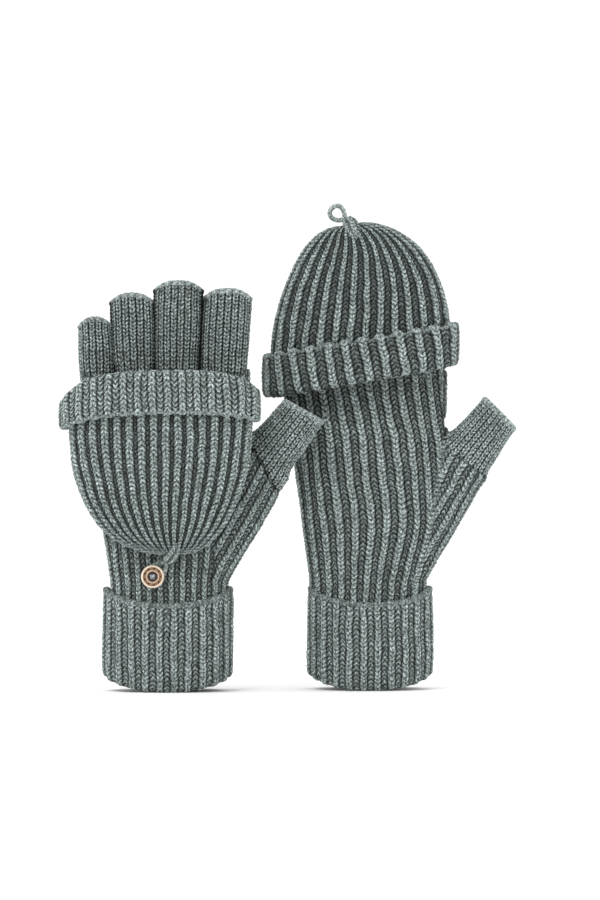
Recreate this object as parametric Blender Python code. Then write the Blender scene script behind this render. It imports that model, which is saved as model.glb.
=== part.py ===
"""A pair of ribbed, flip-top mittens standing on their turned-up cuffs.

Each mitten is drawn in its own frame, in millimetres: u runs across the hand towards the thumb, v from
the palm to the back of the hand, and w up from the floor to the fingertips. The left mitten turns the
back of its hand to -Y and has its hood folded down and buttoned; the right one turns its palm to -Y and
has its hood over the fingers. Every hollow piece is a shell, lofted as one closed skin through rings.
"""

import math

import bmesh
import bpy

MM = 0.001
FIT_GAP = 0.4  # between pieces that touch in the knitting

# Where each mitten stands on the floor, and which way the back of its hand faces along Y.
LEFT_STAND = (-63.66, -0.5)
RIGHT_STAND = (41.54, 25.5)
BACK_TO_FRONT, BACK_TO_REAR = -1, 1

# The hand tube, as (height, little-finger edge, thumb edge, palm side, back side).
KNIT_WALL = 2.5
HAND_POWER = 2.3
PALM_RISE = 8.5  # how much higher the hand tube ends on the palm side than on the back
PALM_RISE_STARTS_AT = 134.0
PALM_RISE_BACK_V, PALM_RISE_FRONT_V = 12.0, -6.0
HAND_SECTIONS = (
    (4.0, -31.0, 31.0, -24.0, 15.0),
    (58.0, -30.5, 30.5, -23.0, 15.0),
    (80.0, -33.5, 41.5, -20.0, 15.0),
    (100.0, -37.0, 53.5, -18.5, 15.0),
    (118.0, -39.5, 55.0, -17.5, 15.0),
    (134.0, -41.5, 42.5, -15.0, 15.0),
    (150.0, -43.8, 40.2, -11.0, 15.0),
    (163.0, -47.2, 38.6, -7.0, 13.4),
)
HAND_POINTS = 28

# The cuff is the end of the tube turned up over itself, so its rim dips at the palm and the back.
CUFF_WALL = 3.2
CUFF_LIP = 3.6
CUFF_TOP = 47.0
CUFF_FOOT_ROUND, CUFF_RIM_ROUND = 0.8, 1.0
CUFF_SIDE_LIFT = 6.0
CUFF_FLAT_SHARE = 0.45
CUFF_LIFT_FADES_AT = 75.0

# Fingers: (name, centre and half width at the root, the same at the open end, height of the end).
FINGERS = (
    ("little_finger", -38.0, 8.7, -40.2, 8.8, 196.0),
    ("ring_finger", -18.6, 10.3, -20.0, 11.3, 210.0),
    ("middle_finger", 3.4, 11.3, 4.4, 12.5, 216.5),
    ("index_finger", 26.6, 11.0, 29.8, 12.1, 212.0),
)
FINGER_ROOT = HAND_SECTIONS[-1][0] + FIT_GAP
FINGER_HALF_DEPTH = 8.8
FINGER_CENTRE_V = 2.2
FINGER_WALL = 2.2
FINGER_POINTS = 16
FINGER_POWER = 2.2
FINGER_TAPER = 0.92  # the depth at the open end, as a share of the depth at the root
FINGER_RIM = 1.6
# Under a hood the fingers close up towards its middle, a little at the root and more at the end, where
# they also narrow, and come forward towards the palm.
GATHERED_ROOT = 0.95
GATHERED_END = 0.80
NARROWED_END = 0.76
CURLED = -5.0

# The thumb turns about a Y axis at its root, where a round end sits in a round notch of the hand.
THUMB_PIVOT = (50.0, 122.0)
THUMB_ANGLE = math.radians(51.4)
THUMB_ROOT_RADIUS = 14.3
THUMB_TIP_HALF_WIDTH = 11.6
THUMB_HALF_DEPTH = 12.0
THUMB_TIP_HALF_DEPTH = 10.4
THUMB_LENGTH = 31.0
THUMB_CENTRE_V = -2.0
THUMB_SWING = math.radians(15.0)
THUMB_TAPER = math.atan2(THUMB_ROOT_RADIUS - THUMB_TIP_HALF_WIDTH, THUMB_LENGTH)
THUMB_POINTS = 20
THUMB_RINGS = (0.0, 0.05, 0.5, 1.0)
FOLDED_THUMB_LEAN, WORN_THUMB_LEAN = 5.0, -1.0  # how far the tip lies towards the back of the hand
FOLDED_THUMB_SLANT, WORN_THUMB_SLANT = 0.16, -0.12  # how far its end is out of square
NOTCH_SPARE_ANGLE = math.radians(1.0)
NOTCH_SPARE_REACH = 20.0
NOTCH_SPARE_DEPTH = 5.0
NOTCH_STEPS = 20

# The hood turns about an X axis along its seam, across the back of the knuckles.
HINGE_V = 15.5
HINGE_W = 166.5
HOOD_CENTRE_U = -4.4
HOOD_HALF_WIDTH = 47.3
HOOD_WALL = 2.4
HOOD_SECTION_POWER = 3.1
HOOD_POINTS = 32
HOOD_BACK_EDGE = 0.6
HOOD_FRONT_ENDS, HOOD_BACK_STARTS = 0.05, 0.50  # read as the sine of the angle round the edge
HOOD_TURNS = (0.25, 0.5, 0.7, 0.86, 0.96)
BAND_WALL = 3.4
BAND_REACH = math.radians(25.0)  # how far the band wraps past the sides onto the back
BAND_STEPS = 22
BAND_FOLD_ROUND, BAND_EDGE_ROUND = 0.8, 2.0

# The button stands on a thread shank on the back of the wrist.
BUTTON_U = -8.7
BUTTON_W = 61.0
SHANK_FOOT_V = 14.9
BUTTON_BACK_V = 19.2
BUTTON_RADIUS = 6.3
BUTTON_THICKNESS = 3.0
BUTTON_HOLE_RADIUS = 1.4
SHANK_RADIUS = 1.1
TURNED_POINTS = 24

SEAM_STARTS_IN = 10.0  # the seam stops this far in from the hand's two edges
SEAM_GAP = 0.45
SEAM_BEVEL = 0.6

LOOP_CORD_RADIUS = 1.2
LOOP_HALF_WIDTH = 4.4  # to the middle of the cord
LOOP_LENGTH = 9.4
LOOP_PAST_SHANK = 3.4
LOOP_SECTIONS = 20
LOOP_POINTS = 8
LOOP_NECK = 0.45  # the loop's width at the tip's end, as a share of its width at the round end
LOOP_ABOVE_SHANK_FOOT = 1.9
WORN_LOOP_AIM = (-7.0, 0.0, 9.5)

TIP_LENGTH = 3.4
TIP_RADII = ((0.0, 3.2), (0.55, 2.5), (1.0, 2.1))  # (share of the length, radius)
TIP_POINTS = 10

# One hood each: the folded one lies flatter and longer, the worn one is round over the fingers.
FOLDED_HOOD = {
    "depth": 28.0,
    "dome_start": 20.0,
    "height": 95.5,
    "dome_power": 2.3,
    "front_edge": -2.9,
    "edge_slope": -0.02,
    "tip_u": 1.0,
    "tip_v": -2.6,
    "band_height": 23.5,
}
WORN_HOOD = {
    "depth": 38.0,
    "dome_start": 10.0,
    "height": 80.5,
    "dome_power": 2.1,
    "front_edge": -3.0,
    "edge_slope": 0.179,
    "tip_u": -9.5,
    "tip_v": -15.0,
    "band_height": 22.5,
}

KNIT = ("grey_wool", (0.22, 0.26, 0.25, 1.0), 0.95)
YARN = ("wool_yarn", (0.25, 0.29, 0.28, 1.0), 0.9)
WOOD = ("button_wood", (0.55, 0.36, 0.22, 1.0), 0.45)
THREAD = ("button_thread", (0.35, 0.36, 0.37, 1.0), 0.8)


def clear_scene():
    for obj in list(bpy.data.objects):
        bpy.data.objects.remove(obj)


def material(finish):
    name, colour, roughness = finish
    made = bpy.data.materials.get(name)
    if made is None:
        made = bpy.data.materials.new(name)
        made.use_nodes = True
        shader = made.node_tree.nodes["Principled BSDF"]
        shader.inputs["Base Color"].default_value = colour
        shader.inputs["Roughness"].default_value = roughness
        shader.inputs["Metallic"].default_value = 0.0
    return made


class Mitten:
    """One mitten: its place, its side, and the empties that its moving pieces hang on."""

    def __init__(self, side_name, stand, facing, hood, folded):
        self.side_name = side_name
        self.stand = stand
        self.facing = facing
        self.hood = hood
        self.folded = folded
        self.base = self.add_empty("base", 0.0, 0.0, 0.0)

    def world(self, u, v, w):
        """A point of the mitten's frame, in metres in the world."""
        x, y = self.stand
        return ((x + u) * MM, (y + self.facing * v) * MM, w * MM)

    def add_empty(self, name, u, v, w):
        empty = bpy.data.objects.new(f"{self.side_name}_{name}_frame", None)
        empty.location = self.world(u, v, w)
        bpy.context.scene.collection.objects.link(empty)
        bpy.context.view_layer.update()
        return empty

    def add_piece(self, name, rings, finish, frame=None, ring_ends=False):
        """A closed skin through the rings: joined end to end, or capped where ring_ends is set."""
        frame = frame or self.base
        origin = frame.location
        bm = bmesh.new()
        rows = []
        for ring in rings:
            points = [self.world(*point) for point in ring]
            rows.append([bm.verts.new([p - o for p, o in zip(point, origin)]) for point in points])
        following = rows[1:] if ring_ends else rows[1:] + rows[:1]
        for row, after in zip(rows, following):
            for i in range(len(row)):
                j = (i + 1) % len(row)
                bm.faces.new((row[i], row[j], after[j], after[i]))
        if ring_ends:
            bm.faces.new(rows[0])
            bm.faces.new(rows[-1])
        bmesh.ops.recalc_face_normals(bm, faces=bm.faces)
        mesh = bpy.data.meshes.new(name)
        bm.to_mesh(mesh)
        bm.free()
        mesh.materials.append(material(finish))
        mesh.shade_smooth()
        mesh.set_sharp_from_angle(angle=math.radians(40.0))
        piece = bpy.data.objects.new(f"{self.side_name}_{name}", mesh)
        bpy.context.scene.collection.objects.link(piece)
        piece.parent = frame
        return piece


def signed_power(value, power):
    return math.copysign(abs(value) ** power, value)


def section(left, right, low_v, high_v, power, count, height_at):
    """A superellipse ring between two edges and two faces; height_at(angle, u, v) gives w."""
    centre_u, half_u = (left + right) / 2, (right - left) / 2
    centre_v, half_v = (low_v + high_v) / 2, (high_v - low_v) / 2
    ring = []
    for i in range(count):
        angle = 2 * math.pi * i / count
        u = centre_u + half_u * signed_power(math.cos(angle), 2 / power)
        v = centre_v + half_v * signed_power(math.sin(angle), 2 / power)
        ring.append((u, v, height_at(angle, u, v)))
    return ring


def cuff_lift(angle, w):
    """How much the cuff's rims rise towards the two sides; it fades out up the wrist."""
    share = max(0.0, (abs(math.cos(angle)) - CUFF_FLAT_SHARE) / (1 - CUFF_FLAT_SHARE))
    fade = min(1.0, max(0.0, (CUFF_LIFT_FADES_AT - w) / (CUFF_LIFT_FADES_AT - CUFF_TOP)))
    return CUFF_SIDE_LIFT * share**1.5 * fade


def palm_rise(v, w):
    """How much a ring near the knuckles rises from the back of the hand to the palm."""
    share = min(1.0, max(0.0, (PALM_RISE_BACK_V - v) / (PALM_RISE_BACK_V - PALM_RISE_FRONT_V)))
    begun = max(0.0, (w - PALM_RISE_STARTS_AT) / (HAND_SECTIONS[-1][0] - PALM_RISE_STARTS_AT))
    return PALM_RISE * share * share * (3 - 2 * share) * min(1.0, begun)


def hand_ring(sizes, inset):
    w, left, right, palm, back = sizes
    return section(
        left + inset,
        right - inset,
        palm + inset,
        back - inset,
        HAND_POWER,
        HAND_POINTS,
        lambda angle, u, v: w + cuff_lift(angle, w) + palm_rise(v, w),
    )


def thumb_notch(mitten):
    """The room that the thumb's root sweeps, as a cutter through the hand."""
    radius = THUMB_ROOT_RADIUS + FIT_GAP
    spread = THUMB_SWING - THUMB_TAPER + NOTCH_SPARE_ANGLE
    reach = THUMB_LENGTH + NOTCH_SPARE_REACH
    outline = []
    first, last = THUMB_ANGLE + spread + math.pi / 2, THUMB_ANGLE - spread + 3 * math.pi / 2
    for i in range(NOTCH_STEPS + 1):
        angle = first + (last - first) * i / NOTCH_STEPS
        outline.append((radius * math.cos(angle), radius * math.sin(angle)))
    for end, sign in ((outline[-1], -1), (outline[0], 1)):
        angle = THUMB_ANGLE + sign * spread
        outline.append((end[0] + reach * math.cos(angle), end[1] + reach * math.sin(angle)))
    pivot_u, pivot_w = THUMB_PIVOT
    rings = [
        [(pivot_u + u, v, pivot_w + w) for u, w in outline]
        for v in (HAND_SECTIONS[0][3] - NOTCH_SPARE_DEPTH, HAND_SECTIONS[0][4] + NOTCH_SPARE_DEPTH)
    ]
    cutter = mitten.add_piece("thumb_notch", rings, KNIT, ring_ends=True)
    cutter.hide_render = True
    cutter.display_type = "WIRE"
    return cutter


def add_hand(mitten):
    rings = [hand_ring(sizes, 0.0) for sizes in HAND_SECTIONS]
    rings += [hand_ring(sizes, KNIT_WALL) for sizes in reversed(HAND_SECTIONS)]
    hand = mitten.add_piece("hand", rings, KNIT)
    cut = hand.modifiers.new("thumb_notch", "BOOLEAN")
    cut.operation = "DIFFERENCE"
    cut.object = thumb_notch(mitten)


def add_wrist_cuff(mitten):
    """The turned-up end: an outer wall, with a lip that turns in under the hand tube."""
    wrist = HAND_SECTIONS[0]
    outer = -(FIT_GAP + CUFF_WALL)
    inner = -FIT_GAP
    lip = KNIT_WALL
    profile = (
        (0.0, lip),
        (0.0, outer + CUFF_FOOT_ROUND),
        (3 * CUFF_FOOT_ROUND, outer),
        (CUFF_TOP - 2 * CUFF_RIM_ROUND, outer),
        (CUFF_TOP, outer + CUFF_RIM_ROUND),
        (CUFF_TOP, inner),
        (CUFF_LIP, inner),
        (CUFF_LIP, lip),
    )
    rings = [hand_ring((w,) + wrist[1:], inset) for w, inset in profile]
    mitten.add_piece("wrist_cuff", rings, KNIT)


def finger_ring(root, end, share, inset):
    """A ring a share of the way along a finger; root and end are (w, u, half width, v, half depth)."""
    w, u, half_u, v, half_v = (a + (b - a) * share for a, b in zip(root, end))
    half_u, half_v = half_u - inset, half_v - inset
    edges = (u - half_u, u + half_u, v - half_v, v + half_v)

    def height(_angle, _u, v):
        return w + palm_rise(v, HAND_SECTIONS[-1][0]) * (1 - share)

    return section(*edges, FINGER_POWER, FINGER_POINTS, height)


def add_fingers(mitten):
    for name, root_u, root_half, end_u, end_half, end_w in FINGERS:
        curl = 0.0
        if not mitten.folded:
            root_u = HOOD_CENTRE_U + (root_u - HOOD_CENTRE_U) * GATHERED_ROOT
            root_half *= GATHERED_ROOT
            end_u = HOOD_CENTRE_U + (end_u - HOOD_CENTRE_U) * GATHERED_END
            end_half *= NARROWED_END
            curl = CURLED
        root = (FINGER_ROOT, root_u, root_half, FINGER_CENTRE_V, FINGER_HALF_DEPTH)
        end = (end_w, end_u, end_half, FINGER_CENTRE_V + curl, FINGER_HALF_DEPTH * FINGER_TAPER)
        rings = [
            finger_ring(root, end, 0.0, 0.0),
            finger_ring(root, end, 1.0 - FINGER_RIM / (end_w - FINGER_ROOT), 0.0),
            finger_ring(root, end, 1.0, FINGER_RIM / 2),
            finger_ring(root, end, 1.0, FINGER_WALL),
            finger_ring(root, end, 0.0, FINGER_WALL),
        ]
        mitten.add_piece(name, rings, KNIT)


def add_thumb(mitten):
    """A tapering sleeve whose root is cut round about the pivot, so that it can swing in its notch."""
    pivot_u, pivot_w = THUMB_PIVOT
    frame = mitten.add_empty("thumb", pivot_u, THUMB_CENTRE_V, pivot_w)
    along = (math.cos(THUMB_ANGLE), math.sin(THUMB_ANGLE))
    across = (math.sin(THUMB_ANGLE), -math.cos(THUMB_ANGLE))
    lean = FOLDED_THUMB_LEAN if mitten.folded else WORN_THUMB_LEAN
    slant = FOLDED_THUMB_SLANT if mitten.folded else WORN_THUMB_SLANT

    def ring(share, inset):
        half_n = THUMB_ROOT_RADIUS + (THUMB_TIP_HALF_WIDTH - THUMB_ROOT_RADIUS) * share - inset
        half_v = THUMB_HALF_DEPTH + (THUMB_TIP_HALF_DEPTH - THUMB_HALF_DEPTH) * share - inset
        centre_v = THUMB_CENTRE_V + lean * share
        points = []
        for i in range(THUMB_POINTS):
            angle = 2 * math.pi * i / THUMB_POINTS
            n = half_n * math.cos(angle)
            s = THUMB_LENGTH * share + slant * n * share
            if share == 0.0:
                s = -math.sqrt(THUMB_ROOT_RADIUS**2 - n**2)
            points.append(
                (
                    pivot_u + s * along[0] + n * across[0],
                    centre_v + half_v * math.sin(angle),
                    pivot_w + s * along[1] + n * across[1],
                )
            )
        return points

    rings = [ring(share, 0.0) for share in THUMB_RINGS]
    rings += [ring(share, KNIT_WALL) for share in reversed(THUMB_RINGS)]
    mitten.add_piece("thumb", rings, KNIT, frame)


def hood_edge(shape, angle, u):
    """The height of the hood's open edge over the hinge: sloping at the front, straight at the back."""
    front = shape["front_edge"] + shape["edge_slope"] * (u - HOOD_CENTRE_U)
    behind = (math.sin(angle) - HOOD_FRONT_ENDS) / (HOOD_BACK_STARTS - HOOD_FRONT_ENDS)
    behind = min(1.0, max(0.0, behind))
    behind = behind * behind * (3 - 2 * behind)
    return front + (HOOD_BACK_EDGE - front) * behind


def hood_ring(shape, turn, rise, inset):
    """A ring over the hinge. turn goes from 0 at the dome's foot to 1 at its tip; rise, from 0 at the open
    edge to 1 at the dome's foot, is read only below the dome."""
    half_u = HOOD_HALF_WIDTH - inset
    half_v = shape["depth"] / 2 - inset
    cosine = math.cos(turn * math.pi / 2) ** (2 / shape["dome_power"])
    sine = math.sin(turn * math.pi / 2) ** (2 / shape["dome_power"])
    peak = shape["height"] - inset
    centre_u = HOOD_CENTRE_U + (shape["tip_u"] - HOOD_CENTRE_U) * sine**3
    centre_v = -inset - half_v * cosine + (shape["tip_v"] + inset) * (1 - cosine)
    dome_w = shape["dome_start"] + (peak - shape["dome_start"]) * sine

    def height(angle, u, _v):
        edge = hood_edge(shape, angle, u)
        return dome_w if turn > 0 else edge + (shape["dome_start"] - edge) * rise

    return section(
        centre_u - half_u * cosine,
        centre_u + half_u * cosine,
        centre_v - half_v * cosine,
        centre_v + half_v * cosine,
        HOOD_SECTION_POWER,
        HOOD_POINTS,
        height,
    )


def place_hood_points(mitten, rings):
    """Rings given about the hinge, as the mitten holds its hood: over the fingers, or folded down."""
    turn = -1 if mitten.folded else 1
    return [[(u, HINGE_V + turn * v, HINGE_W + turn * w) for u, v, w in ring] for ring in rings]


def add_hood(mitten, frame):
    shape = mitten.hood
    skin = []
    for inset in (0.0, HOOD_WALL):
        side = [hood_ring(shape, 0.0, rise, inset) for rise in (0.0, 1.0)]
        side += [hood_ring(shape, turn, 1.0, inset) for turn in HOOD_TURNS]
        skin.append(side)
    rings = list(reversed(skin[0])) + skin[1]
    mitten.add_piece("hood", place_hood_points(mitten, rings), KNIT, frame, ring_ends=True)


def add_hood_band(mitten, frame):
    """The hood's hem, turned back on itself round the front and both sides."""
    shape = mitten.hood
    inner = FIT_GAP
    outer = FIT_GAP + BAND_WALL
    tall = shape["band_height"]
    profile = (
        (inner, 0.0),
        (outer - BAND_FOLD_ROUND, -BAND_FOLD_ROUND / 2),
        (outer, BAND_EDGE_ROUND),
        (outer, tall - BAND_EDGE_ROUND),
        (outer - BAND_FOLD_ROUND, tall),
        (inner, tall),
    )
    half_v = shape["depth"] / 2
    rings = []
    start, sweep = math.pi - BAND_REACH, math.pi + 2 * BAND_REACH
    for i in range(BAND_STEPS + 1):
        angle = start + sweep * i / BAND_STEPS
        across = signed_power(math.cos(angle), 2 / HOOD_SECTION_POWER)
        deep = signed_power(math.sin(angle), 2 / HOOD_SECTION_POWER)
        edge = hood_edge(shape, 0.0, HOOD_CENTRE_U + HOOD_HALF_WIDTH * across)
        rings.append(
            [
                (HOOD_CENTRE_U + (HOOD_HALF_WIDTH + out) * across, -half_v + (half_v + out) * deep, edge + up)
                for out, up in profile
            ]
        )
    mitten.add_piece("hood_band", place_hood_points(mitten, rings), KNIT, frame, ring_ends=True)


def round_rod(stations, count):
    """Rings of a round bar: each station is (centre, radius, two unit vectors across it)."""
    rings = []
    for centre, radius, first, second in stations:
        ring = []
        for i in range(count):
            angle = 2 * math.pi * i / count
            c, s = radius * math.cos(angle), radius * math.sin(angle)
            ring.append(tuple(p + c * a + s * b for p, a, b in zip(centre, first, second)))
        rings.append(ring)
    return rings


def tip_line(mitten):
    """Where the hood's gathered tip starts, and the unit direction in which it and its loop point."""
    shape = mitten.hood
    turn = -1 if mitten.folded else 1
    start = (
        shape["tip_u"],
        HINGE_V + turn * shape["tip_v"],
        HINGE_W + turn * (shape["height"] + 1.5 * FIT_GAP),
    )
    if mitten.folded:
        catch = (BUTTON_U, SHANK_FOOT_V + LOOP_ABOVE_SHANK_FOOT, BUTTON_W)
        aim = tuple(c - s for c, s in zip(catch, start))
    else:
        aim = WORN_LOOP_AIM
    length = math.sqrt(sum(a * a for a in aim))
    return start, tuple(a / length for a in aim), length


def across_of(direction):
    """Two unit vectors across a direction, the first lying in the plane of the hand's back."""
    flat = math.hypot(direction[0], direction[2])
    first = (direction[2] / flat, 0.0, -direction[0] / flat)
    second = (
        first[1] * direction[2] - first[2] * direction[1],
        first[2] * direction[0] - first[0] * direction[2],
        first[0] * direction[1] - first[1] * direction[0],
    )
    return first, second


def add_hood_tip(mitten, frame):
    """The gathered last stitches: a short stem that leaves the apex flat on and turns towards the loop."""
    start, direction, _ = tip_line(mitten)
    upright = across_of((0.0, 0.0, -1.0 if mitten.folded else 1.0))
    stations = []
    for share, radius in TIP_RADII:
        centre = [p + d * TIP_LENGTH * share for p, d in zip(start, direction)]
        across = across_of(direction) if share > 0 else upright
        stations.append((centre, radius, *across))
    mitten.add_piece("hood_tip", round_rod(stations, TIP_POINTS), YARN, frame, ring_ends=True)


def add_button_loop(mitten):
    """A drop-shaped ring of cord: narrow at the tip's end, round at the other."""
    start, direction, length = tip_line(mitten)
    first, second = across_of(direction)
    near = TIP_LENGTH + FIT_GAP + LOOP_CORD_RADIUS
    far = length + LOOP_PAST_SHANK if mitten.folded else near + LOOP_LENGTH
    frame = mitten.add_empty("loop", *[p + d * near for p, d in zip(start, direction)])
    stations = []
    for i in range(LOOP_SECTIONS):
        angle = 2 * math.pi * i / LOOP_SECTIONS
        s = (near + far) / 2 - (far - near) / 2 * math.cos(angle)
        fullness = LOOP_NECK + (1 - LOOP_NECK) * (1 - math.cos(angle)) / 2
        width = LOOP_HALF_WIDTH * math.sin(angle) * fullness**0.6
        ds = (far - near) / 2 * math.sin(angle)
        dn = LOOP_HALF_WIDTH * math.cos(angle)
        size = math.hypot(ds, dn)
        centre = [p + d * s + f * width for p, d, f in zip(start, direction, first)]
        normal = [(-d * dn + f * ds) / size for d, f in zip(direction, first)]
        stations.append((centre, LOOP_CORD_RADIUS, normal, second))
    mitten.add_piece("button_loop", round_rod(stations, LOOP_POINTS), YARN, frame)


def turned(profile):
    """Rings about the button's axis, from (radius, v) pairs."""
    first, second = (1.0, 0.0, 0.0), (0.0, 0.0, 1.0)
    return round_rod([((BUTTON_U, v, BUTTON_W), r, first, second) for r, v in profile], TURNED_POINTS)


def add_button(mitten):
    frame = mitten.add_empty("button", BUTTON_U, BUTTON_BACK_V, BUTTON_W)
    back, front = BUTTON_BACK_V, BUTTON_BACK_V + BUTTON_THICKNESS
    profile = (
        (BUTTON_HOLE_RADIUS, back),
        (BUTTON_RADIUS - 1.0, back),
        (BUTTON_RADIUS, back + 1.0),
        (BUTTON_RADIUS, front - 0.5),
        (BUTTON_RADIUS - 0.5, front),
        (BUTTON_RADIUS - 0.9, front),
        (BUTTON_RADIUS - 1.3, front - 0.7),
        (3.9, front - 0.7),
        (3.5, front - 0.1),
        (2.8, front - 0.1),
        (2.5, front - 1.3),
        (BUTTON_HOLE_RADIUS, front - 1.3),
    )
    mitten.add_piece("button", turned(profile), WOOD, frame)


def add_button_thread(mitten):
    """The thread shank: a pad of stitches on the knitting, the wound stem, and the knot in front."""
    knot = BUTTON_BACK_V + BUTTON_THICKNESS - 1.1
    profile = (
        (0.8, SHANK_FOOT_V),
        (SHANK_RADIUS, SHANK_FOOT_V + 0.4),
        (SHANK_RADIUS, knot),
        (2.0, knot + 0.1),
        (1.8, knot + 0.8),
        (0.9, knot + 1.2),
    )
    mitten.add_piece("button_thread", turned(profile), THREAD, ring_ends=True)


def add_hood_seam(mitten):
    """The overcast seam that joins the hood to the back of the hand, just under the hinge."""
    left, right = HAND_SECTIONS[-1][1] + SEAM_STARTS_IN, HAND_SECTIONS[-1][2] - SEAM_STARTS_IN
    low_v, high_v = FINGER_CENTRE_V + FINGER_HALF_DEPTH + SEAM_GAP, HINGE_V - SEAM_GAP
    low_w, high_w = FINGER_ROOT + SEAM_GAP / 4, HINGE_W - SEAM_GAP
    outline = (
        (low_v, low_w),
        (high_v, low_w),
        (high_v, high_w - SEAM_BEVEL),
        (high_v - SEAM_BEVEL, high_w),
        (low_v, high_w),
    )
    rings = [[(u, v, w) for v, w in outline] for u in (left, right)]
    mitten.add_piece("hood_seam", rings, YARN, ring_ends=True)


def add_mitten(side_name, stand, facing, hood, folded):
    mitten = Mitten(side_name, stand, facing, hood, folded)
    add_hand(mitten)
    add_wrist_cuff(mitten)
    add_fingers(mitten)
    add_thumb(mitten)
    hinge = mitten.add_empty("hood", HOOD_CENTRE_U, HINGE_V, HINGE_W)
    add_hood(mitten, hinge)
    add_hood_band(mitten, hinge)
    add_hood_tip(mitten, hinge)
    add_button_loop(mitten)
    add_button(mitten)
    add_button_thread(mitten)
    add_hood_seam(mitten)


def main():
    clear_scene()
    add_mitten("left", LEFT_STAND, BACK_TO_FRONT, FOLDED_HOOD, True)
    add_mitten("right", RIGHT_STAND, BACK_TO_REAR, WORN_HOOD, False)


main()
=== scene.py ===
"""The looks of a pair of ribbed flip-top mittens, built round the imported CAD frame.

Every surface is worked out in the mitten's own frame, in millimetres: u runs across the hand towards the
thumb, v from the palm to the back of the hand, w up to the fingertips. A piece is a dense skin whose
points are pushed in and out by the height of the knitting there: ribs, the two legs of each stitch, and
the bars of the purl rows between them.
"""

import math
from types import SimpleNamespace

import bpy
import numpy as np
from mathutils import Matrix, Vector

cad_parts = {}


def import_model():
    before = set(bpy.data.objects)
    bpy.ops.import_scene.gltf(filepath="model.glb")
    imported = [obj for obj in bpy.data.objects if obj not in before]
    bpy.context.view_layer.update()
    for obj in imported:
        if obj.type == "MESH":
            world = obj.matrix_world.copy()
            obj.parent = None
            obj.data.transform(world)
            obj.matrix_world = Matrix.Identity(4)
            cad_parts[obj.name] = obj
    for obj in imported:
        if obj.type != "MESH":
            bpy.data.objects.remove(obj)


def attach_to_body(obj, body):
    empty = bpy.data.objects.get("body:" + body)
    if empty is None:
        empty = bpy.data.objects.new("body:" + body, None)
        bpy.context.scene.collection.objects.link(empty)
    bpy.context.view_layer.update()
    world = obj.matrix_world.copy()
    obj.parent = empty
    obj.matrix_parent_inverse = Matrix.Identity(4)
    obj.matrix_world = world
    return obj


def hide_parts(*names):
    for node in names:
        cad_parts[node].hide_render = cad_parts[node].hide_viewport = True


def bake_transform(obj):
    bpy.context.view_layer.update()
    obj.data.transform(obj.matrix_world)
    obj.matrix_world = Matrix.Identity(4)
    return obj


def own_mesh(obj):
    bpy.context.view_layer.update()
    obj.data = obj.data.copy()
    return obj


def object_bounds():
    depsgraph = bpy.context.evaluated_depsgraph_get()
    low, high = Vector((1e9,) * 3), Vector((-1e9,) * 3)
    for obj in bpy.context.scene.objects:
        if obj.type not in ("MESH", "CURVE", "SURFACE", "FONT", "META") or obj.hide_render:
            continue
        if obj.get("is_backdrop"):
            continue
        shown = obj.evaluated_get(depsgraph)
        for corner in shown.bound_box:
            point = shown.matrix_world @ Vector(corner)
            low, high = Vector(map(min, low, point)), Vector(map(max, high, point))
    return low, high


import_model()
cad_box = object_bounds()

MM = 0.001
TAU = 2 * math.pi
FINE = 0.43  # spacing of the points of a visible skin
COARSE = 2.0  # and of a skin that is hardly seen

# ---- sizes, in millimetres

HINGE_V, HINGE_W = 15.5, 166.5
HOOD_CENTRE_U = -4.4

# The hand as it is knitted, thumb gusset and all: (w, little-finger edge, thumb edge, palm, back).
HAND = np.array(
    (
        (36.0, -31.0, 30.0, -23.6, 14.6),
        (58.0, -31.4, 30.2, -22.6, 14.6),
        (66.0, -32.4, 34.4, -21.6, 14.6),
        (80.0, -34.4, 42.8, -20.0, 14.6),
        (100.0, -37.0, 55.0, -18.5, 14.6),
        (112.0, -38.9, 61.0, -17.8, 14.6),
        (120.0, -39.9, 57.0, -17.2, 14.6),
        (128.0, -40.8, 47.0, -16.0, 14.6),
        (136.0, -41.7, 41.0, -14.4, 14.6),
        (150.0, -43.8, 41.2, -11.0, 14.4),
        (163.0, -47.0, 41.4, -9.0, 13.2),
        (180.0, -48.5, 41.0, -8.6, 12.4),
    )
)
HAND_POWER = 2.3
HAND_BOTTOM = 41.0
HAND_TOP, PALM_RISE = 163.5, 12.0  # where the hand closes between the fingers; it closes higher in the palm
HAND_RIBS = 25
# Without its gusset the hand is this wide towards the thumb: (w, u).
PLAIN_EDGE = np.array(((36.0, 30.0), (58.0, 30.2), (134.0, 41.5), (150.0, 41.2), (176.0, 41.0)))
# Where the gusset's seam runs on each side: (w, u).
PALM_SEAM = np.array(
    ((50.0, 19.0), (64.0, 25.6), (76.0, 30.2), (88.0, 33.0), (98.0, 34.0), (106.0, 36.0))
    + ((122.0, 38.0), (134.0, 40.0), (140.0, 41.2))
)
BACK_SEAM = np.array(((50.0, 22.0), (80.0, 24.0), (134.0, 42.5)))
# Low in the palm the ribs lie nearer the thumb, and higher up they lean away from it.
PALM_BOW, PALM_BOW_LOW, PALM_BOW_HIGH = 11.5, 76.0, 174.0
PALM_BOW_EASE, PALM_BOW_EASES = 0.5, 96.0  # down to the cuff they come back by this share, from this height
PALM_BOW_FROM, PALM_BOW_TO = -27.0, 21.0
CROTCH_W = 134.0
PALM_SIDE_V = -3.0  # the palm's side of the hand lies below this
# The gusset's outer edge: (w, how it leans from upright), and (w, u).
EDGE_LEAN = np.array(((52.0, 0.0), (66.0, 0.53), (106.0, 0.53), (114.0, 0.60), (150.0, 0.60)))
OUTER_EDGE = np.array(((36.0, 30.4), (58.0, 30.4), (66.0, 34.4), (112.0, 61.2), (150.0, 83.6)))
GUSSET_PITCH, GUSSET_ROUND = 6.8, 13.0
SEAM_BREADTH = 1.3  # of the line where the gusset joins the palm

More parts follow.
